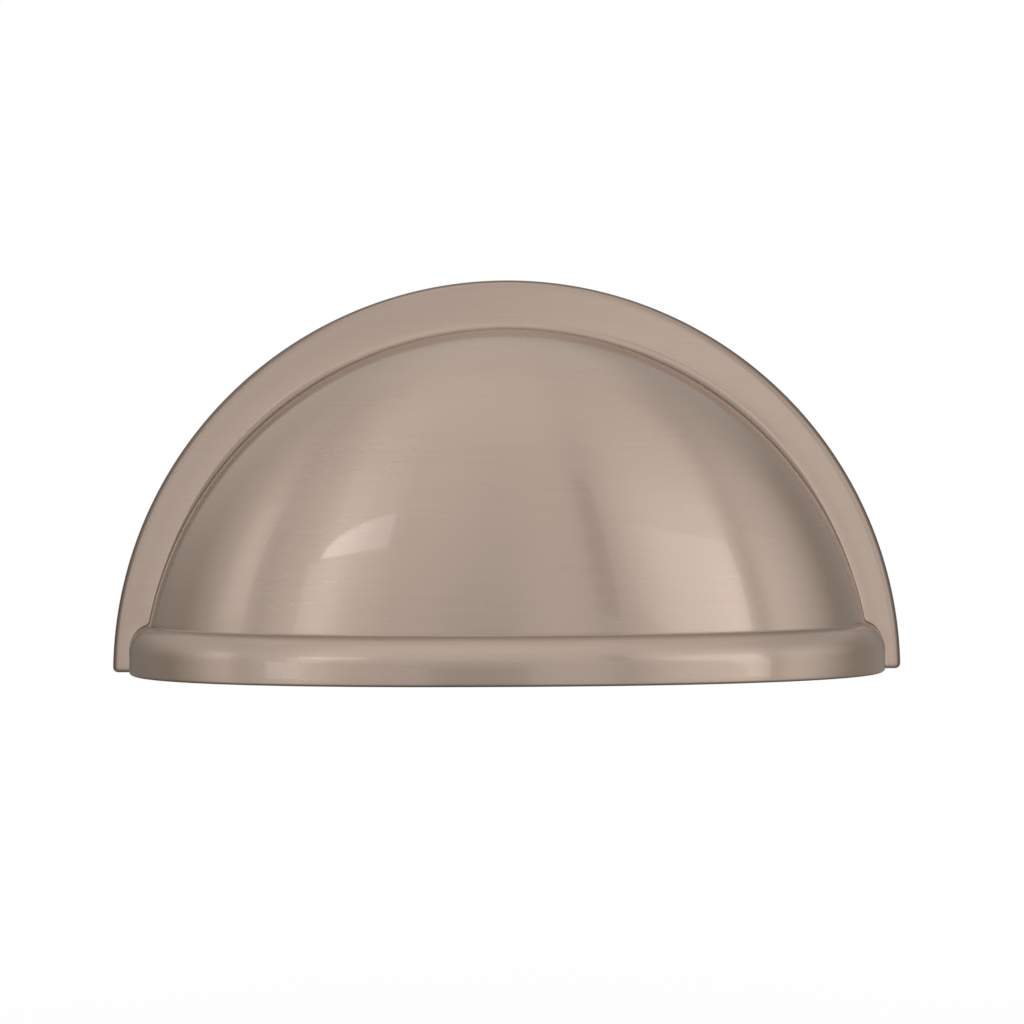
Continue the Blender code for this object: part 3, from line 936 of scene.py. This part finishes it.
def board(name, bearings, heights, away, glow, cover, colour=(1.0, 1.0, 1.0)):
    """A board over a range of bearings, with its own glow and how solid it is at each place.

    Its lower and upper edge are each a height, or a rule that gives the height at a bearing.
    Glow and cover are rules for a bearing and a height, and the colour tints the glow.
    """
    across = np.linspace(*bearings, round(bearings[1] - bearings[0]) + 1)
    foot, head = (edge(across) if callable(edge) else edge + 0 * across for edge in heights)
    share = np.linspace(0, 1, round(np.max(head - foot)) + 1)
    up = foot[:, None] + (head - foot)[:, None] * share
    a, e = np.radians(across)[:, None], np.radians(up)
    places = np.stack([np.cos(e) * np.sin(a), -np.cos(e) * np.cos(a), np.sin(e)], 2) * away
    rows, columns = up.shape
    faces = [
        (i * columns + j, (i + 1) * columns + j, (i + 1) * columns + j + 1, i * columns + j + 1)
        for i in range(rows - 1)
        for j in range(columns - 1)
    ]
    mesh = bpy.data.meshes.new(name)
    mesh.from_pydata([tuple(p) for p in places.reshape(-1, 3)], [], faces)
    bearing = np.repeat(across[:, None], columns, axis=1)
    for label, rule in (("glow", glow), ("cover", cover)):
        values = (rule(bearing, up) + 0 * up).reshape(-1)
        layer = mesh.attributes.new(label, "FLOAT", "POINT")
        layer.data.foreach_set("value", values.astype(np.float32))
    material = bpy.data.materials.new(name)
    material.use_nodes = True
    nodes, links = material.node_tree.nodes, material.node_tree.links
    nodes.clear()
    lit, clear, mix = (
        nodes.new("ShaderNodeEmission"),
        nodes.new("ShaderNodeBsdfTransparent"),
        nodes.new("ShaderNodeMixShader"),
    )
    lit.inputs["Color"].default_value = (*colour, 1.0)
    for label, socket in (("glow", lit.inputs["Strength"]), ("cover", mix.inputs["Fac"])):
        reader = nodes.new("ShaderNodeAttribute")
        reader.attribute_name = label
        links.new(reader.outputs["Fac"], socket)
    links.new(clear.outputs[0], mix.inputs[1])
    links.new(lit.outputs[0], mix.inputs[2])
    links.new(mix.outputs[0], nodes.new("ShaderNodeOutputMaterial").inputs["Surface"])
    mesh.materials.append(material)
    made = bpy.data.objects.new(name, mesh)
    bpy.context.scene.collection.objects.link(made)
    made.visible_camera = made.visible_diffuse = made.visible_shadow = False


board(
    "right_softbox", (13, 39.5), (lambda b: 9 - 17 * ((b - 13) / 26.5) ** 0.85, 19), 2.5,
    lambda b, h: 1.0 + 1.0 * ramp(b, 12, 25) + 0.2 * ramp(b, 27, 40),
    lambda b, h: ramp(b, 13, 17),
)
board(
    "right_softbox_top", (13, 39.5), (19, 31), 2.5,
    lambda b, h: 1.28,
    lambda b, h: ramp(b, 13, 17) * (1 - ramp(h, 25, 31)),
)
board("right_softbox_skirt", (39.5, 41.5), (-8, 2), 2.5, lambda b, h: 2.0, lambda b, h: 1.0)
board(
    "right_gap_card", (40.5, 46), (-12, 20), 2.53,
    lambda b, h: 0.82,
    lambda b, h: 1 - ramp(b, 43, 46),
)
board("dark_strip", (10.5, 14), (4, 27), 2.55, lambda b, h: 0.4, lambda b, h: ramp(b, 10, 12))
board(
    "right_low_card", (10, 19), (-30, 2), 2.48,
    lambda b, h: 0.76,
    lambda b, h: hump(b, 11.5, 14, 16, 19),
)
board(
    "left_low_card", (-24, -7), (-30, -3), 2.48,
    lambda b, h: 0.78,
    lambda b, h: ramp(b, -24, -20),
)
board(
    "left_fill", (-22, -1), (8, 38), 2.95,
    lambda b, h: 1.11,
    lambda b, h: hump(b, -22, -15, -7, -1) * hump(h, 8, 18, 28, 38),
)
board(
    "left_window", (-28.5, -16),
    (15, lambda b: 15 + 6.3 * np.sqrt(1 - np.clip((-16 - b) / 12.5, 0, 1) ** 1.6)), 2.5,
    lambda b, h: 2.45 + 2.55 * ramp(-b, 16, 28),
    lambda b, h: 1.0,
)
board(
    "left_window_sill", (-30.5, -20), (3, 14.5), 2.5,
    lambda b, h: 1.0 + 0.8 * ramp(-b, 19, 26),
    lambda b, h: 1.0,
)
board("left_low_lamp", (-35, -25), (-6, 0), 2.5, lambda b, h: 2.1, lambda b, h: ramp(-b, 24, 29))
board(
    "left_gap_card", (-45.5, -37.5), (-12, 22), 2.5,
    lambda b, h: 0.8 + 0.1 * ramp(h, 5, 20),
    lambda b, h: 1 - ramp(b, -40, -37.5),
)
board("left_strip", (-62, -46), (8, 29), 2.5, lambda b, h: 1.45, lambda b, h: ramp(b, -62, -51))
board(
    "right_strip", (44, 66), (-10, 22), 2.52,
    lambda b, h: 1.22 + 0.08 * ramp(h, 0, 12),
    lambda b, h: hump(b, 44, 49, 49, 66),
)
FLAG_COLOUR = (1.02, 0.98, 0.935)  # the two grey flags are a little warm


def open_behind(bearing):
    """The flags end behind the pull, so that its back is lit too."""
    return 1 - ramp(np.abs(bearing), 154, 170)


board(
    "left_flag", (-170, -40), (-80, 80), 2.8,
    lambda b, h: (0.385 + 0.45 * ramp(h, -5, 45))
    * (1 - 0.15 * ramp(-b, 95, 120) * (1 - ramp(h, 5, 20))),
    lambda b, h: ramp(-b - 6 * ramp(h, -12, 12) - 4 * ramp(h, 8, 25), 41, 77)
    * (1 - ramp(h, 35, 78))
    * open_behind(b),
    FLAG_COLOUR,
)
board(
    "right_flag", (50, 170), (-80, 80), 2.8,
    lambda b, h: (0.46 + 0.07 * ramp(h, 0, 45))
    * (1 - 0.05 * ramp(b, 95, 120) * (1 - ramp(h, 5, 20))),
    lambda b, h: ramp(b - 9 * ramp(h, -10, 14), 50, 85)
    * (1 - ramp(h, 35, 78))
    * open_behind(b),
    FLAG_COLOUR,
)
board(
    "left_upper_card", (-180, -40), (28, 68), 2.7,
    lambda b, h: 0.82,
    lambda b, h: 0.9 * ramp(-b, 40, 56) * hump(h, 28, 40, 56, 68),
)
board(
    "right_upper_card", (40, 180), (32, 68), 2.7,
    lambda b, h: 0.72,
    lambda b, h: 0.9 * ramp(b, 40, 56) * hump(h, 32, 44, 56, 68),
)
board(
    "table", (-180, 180), (-88, -8), 3.0,
    lambda b, h: 0.3
    + 0.62 * ramp(h, -50, -30) * (1 - 0.7 * ramp(np.abs(b), 90, 120) * open_behind(b)),
    lambda b, h: 1.0,
)
board("low_card", (-7, 2.5), (-40, -5), 2.4, lambda b, h: 0.42, lambda b, h: 1.0)
board(
    "ceiling", (-50, 30), (32, 75), 2.9,
    lambda b, h: 1.16,
    lambda b, h: hump(h, 32, 45, 65, 75) * hump(b, -48, -18, 5, 30),
)
